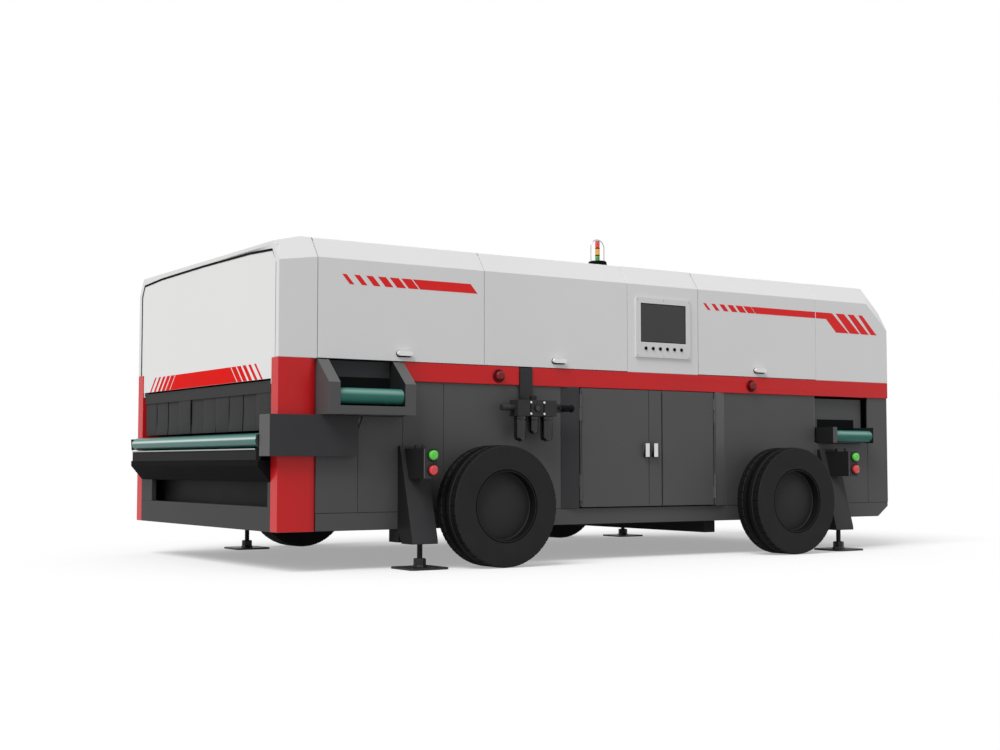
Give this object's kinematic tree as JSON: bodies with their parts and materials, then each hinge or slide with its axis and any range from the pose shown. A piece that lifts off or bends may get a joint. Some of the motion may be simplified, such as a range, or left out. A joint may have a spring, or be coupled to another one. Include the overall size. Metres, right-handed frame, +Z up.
{
  "type": "mobile optical colour sorter",
  "caption": "Hooded belt sorting machine on wheels and screw jacks, with a strip-curtained infeed belt, side discharge conveyors, lift-up hood doors and a cabinet.",
  "frame": {"origin": "on the floor under the middle of the machine's bounding box", "axes": "+X along the machine away from the infeed end, +Y to the far side, +Z up"},
  "size_m": [4.88, 2.84, 2.035],
  "materials": {
    "hood_white": "satin",
    "stripe_red": "gloss",
    "body_charcoal": "satin",
    "frame_grey": "satin",
    "belt_green": "satin",
    "curtain_rubber": "matte",
    "bare_steel": "brushed",
    "wheel_black": "matte",
    "jack_black": "satin",
    "monitor_grey": "satin",
    "screen_black": "gloss",
    "lamp_white": "gloss",
    "module_grey": "matte",
    "trim_black": "satin",
    "lens_amber": "gloss",
    "air_grey": "satin",
    "lever_steel": "brushed",
    "button_green": "gloss",
    "button_red": "gloss"
  },
  "bodies": {
    "machine": {"chassis_frame": "body_charcoal", "inner_frame": "frame_grey", "roof_panel": "hood_white", "front_hood": "hood_white", "rear_hood": "hood_white", "infeed_end_panel": "hood_white", "corner_posts": "stripe_red", "waist_stripes": "stripe_red", "lower_panels": "body_charcoal", "infeed_lower_frame": "body_charcoal", "far_hood_panels": "hood_white", "screen_panel": "hood_white", "monitor": "monitor_grey", "screen_glass": "screen_black", "axles": "frame_grey", "jack_legs": "body_charcoal", "infeed_frame": "body_charcoal", "infeed_belt": "belt_green", "infeed_drive_cover": "body_charcoal", "upper_cross_frame": "body_charcoal", "upper_cross_belt": "belt_green", "lower_cross_frame": "body_charcoal", "lower_cross_belt": "belt_green", "camera_housing": "frame_grey", "lamp_bars": "lamp_white", "ejector_bar": "bare_steel", "air_tank": "frame_grey", "electrical_panel": "module_grey", "control_boxes": "body_charcoal", "tower_stem": "trim_black", "tower_lenses": "lens_amber", "air_unit": "air_grey", "air_bowls": "trim_black", "door_hinges": "bare_steel"},
    "hood_door_front": {"hood_door_front": "hood_white"},
    "hood_door_middle": {"hood_door_middle": "hood_white"},
    "hood_door_rear": {"hood_door_rear": "hood_white"},
    "cabinet_door_left": {"cabinet_door_left": "body_charcoal"},
    "cabinet_door_right": {"cabinet_door_right": "body_charcoal"},
    "wheel_front_near": {"wheel_front_near": "wheel_black"},
    "wheel_front_far": {"wheel_front_far": "wheel_black"},
    "wheel_rear_near": {"wheel_rear_near": "wheel_black"},
    "wheel_rear_far": {"wheel_rear_far": "wheel_black"},
    "jack_front_near": {"jack_front_near": "jack_black"},
    "jack_front_far": {"jack_front_far": "jack_black"},
    "jack_rear_near": {"jack_rear_near": "jack_black"},
    "jack_rear_far": {"jack_rear_far": "jack_black"},
    "start_button_front": {"start_button_front": "button_green"},
    "stop_button_front": {"stop_button_front": "button_red"},
    "start_button_rear": {"start_button_rear": "button_green"},
    "stop_button_rear": {"stop_button_rear": "button_red"},
    "stop_head_front": {"stop_head_front": "button_red"},
    "stop_head_rear": {"stop_head_rear": "button_red"},
    "curtain": {"curtain": "curtain_rubber"},
    "infeed_nose_roller": {"infeed_nose_roller": "bare_steel"},
    "infeed_head_roller": {"infeed_head_roller": "bare_steel"},
    "upper_cross_roller": {"upper_cross_roller": "bare_steel"},
    "lower_cross_roller": {"lower_cross_roller": "bare_steel"},
    "regulator_knob": {"regulator_knob": "trim_black"},
    "valve_lever": {"valve_lever": "lever_steel"}
  },
  "joints": [
    {"name": "hood_door_front_lift", "type": "hinge", "parent": "machine", "child": "hood_door_front", "pos_m": [-1.5765, -1.008, 1.848], "axis": [-1, 0, 0], "range_deg": [0, 80]},
    {"name": "hood_door_middle_lift", "type": "hinge", "parent": "machine", "child": "hood_door_middle", "pos_m": [-0.4875, -1.008, 1.848], "axis": [-1, 0, 0], "range_deg": [0, 80]},
    {"name": "hood_door_rear_lift", "type": "hinge", "parent": "machine", "child": "hood_door_rear", "pos_m": [1.183, -1.008, 1.848], "axis": [-1, 0, 0], "range_deg": [0, 80]},
    {"name": "cabinet_door_left_swing", "type": "hinge", "parent": "machine", "child": "cabinet_door_left", "pos_m": [-0.327, -1.112, 0.693], "axis": [0, 0, -1], "range_deg": [0, 95]},
    {"name": "cabinet_door_right_swing", "type": "hinge", "parent": "machine", "child": "cabinet_door_right", "pos_m": [0.77, -1.112, 0.693], "axis": [0, 0, 1], "range_deg": [0, 95]},
    {"name": "wheel_front_near_spin", "type": "hinge", "parent": "machine", "child": "wheel_front_near", "pos_m": [-1.078, -1.317, 0.35], "axis": [0, 1, 0], "continuous": true},
    {"name": "wheel_front_far_spin", "type": "hinge", "parent": "machine", "child": "wheel_front_far", "pos_m": [-1.078, 1.317, 0.35], "axis": [0, 1, 0], "continuous": true},
    {"name": "wheel_rear_near_spin", "type": "hinge", "parent": "machine", "child": "wheel_rear_near", "pos_m": [1.211, -1.317, 0.35], "axis": [0, 1, 0], "continuous": true},
    {"name": "wheel_rear_far_spin", "type": "hinge", "parent": "machine", "child": "wheel_rear_far", "pos_m": [1.211, 1.317, 0.35], "axis": [0, 1, 0], "continuous": true},
    {"name": "jack_front_near_slide", "type": "slide", "parent": "machine", "child": "jack_front_near", "axis": [0, 0, 1], "range_m": [-0.06, 0.07]},
    {"name": "jack_front_far_slide", "type": "slide", "parent": "machine", "child": "jack_front_far", "axis": [0, 0, 1], "range_m": [-0.06, 0.07]},
    {"name": "jack_rear_near_slide", "type": "slide", "parent": "machine", "child": "jack_rear_near", "axis": [0, 0, 1], "range_m": [-0.06, 0.07]},
    {"name": "jack_rear_far_slide", "type": "slide", "parent": "machine", "child": "jack_rear_far", "axis": [0, 0, 1], "range_m": [-0.06, 0.07]},
    {"name": "start_button_front_press", "type": "slide", "parent": "machine", "child": "start_button_front", "axis": [0, 1, 0], "range_m": [0, 0.006], "stiffness_N_per_m": 900},
    {"name": "stop_button_front_press", "type": "slide", "parent": "machine", "child": "stop_button_front", "axis": [0, 1, 0], "range_m": [0, 0.006], "stiffness_N_per_m": 900},
    {"name": "start_button_rear_press", "type": "slide", "parent": "machine", "child": "start_button_rear", "axis": [0, 1, 0], "range_m": [0, 0.006], "stiffness_N_per_m": 900},
    {"name": "stop_button_rear_press", "type": "slide", "parent": "machine", "child": "stop_button_rear", "axis": [0, 1, 0], "range_m": [0, 0.006], "stiffness_N_per_m": 900},
    {"name": "stop_head_front_press", "type": "slide", "parent": "machine", "child": "stop_head_front", "axis": [0, 1, 0], "range_m": [0, 0.005], "stiffness_N_per_m": 1500},
    {"name": "stop_head_rear_press", "type": "slide", "parent": "machine", "child": "stop_head_rear", "axis": [0, 1, 0], "range_m": [0, 0.005], "stiffness_N_per_m": 1500},
    {"name": "curtain_swing", "type": "hinge", "parent": "machine", "child": "curtain", "pos_m": [-2.343, 0, 1.045], "axis": [0, -1, 0], "range_deg": [-20, 40]},
    {"name": "infeed_nose_roller_spin", "type": "hinge", "parent": "machine", "child": "infeed_nose_roller", "pos_m": [-2.4, 0, 0.72], "axis": [0, 1, 0], "continuous": true},
    {"name": "infeed_head_roller_spin", "type": "hinge", "parent": "machine", "child": "infeed_head_roller", "pos_m": [1.48189, 0, 0.97103], "axis": [0, 1, 0], "continuous": true},
    {"name": "upper_cross_roller_spin", "type": "hinge", "parent": "machine", "child": "upper_cross_roller", "pos_m": [-1.8515, -1.195, 0.967], "axis": [1, 0, 0], "continuous": true},
    {"name": "lower_cross_roller_spin", "type": "hinge", "parent": "machine", "child": "lower_cross_roller", "pos_m": [1.954, -1.195, 0.785], "axis": [1, 0, 0], "continuous": true},
    {"name": "regulator_knob_turn", "type": "hinge", "parent": "machine", "child": "regulator_knob", "pos_m": [-0.731, -1.18, 0.984], "axis": [0, 0, 1], "range_deg": [-150, 150]},
    {"name": "valve_lever_turn", "type": "hinge", "parent": "machine", "child": "valve_lever", "pos_m": [-0.553, -1.18, 0.926], "axis": [0, -1, 0], "range_deg": [0, 90]}
  ],
  "couplings": [
    {"joint": "infeed_head_roller_spin", "follows": "infeed_nose_roller_spin", "ratio": 1}
  ]
}
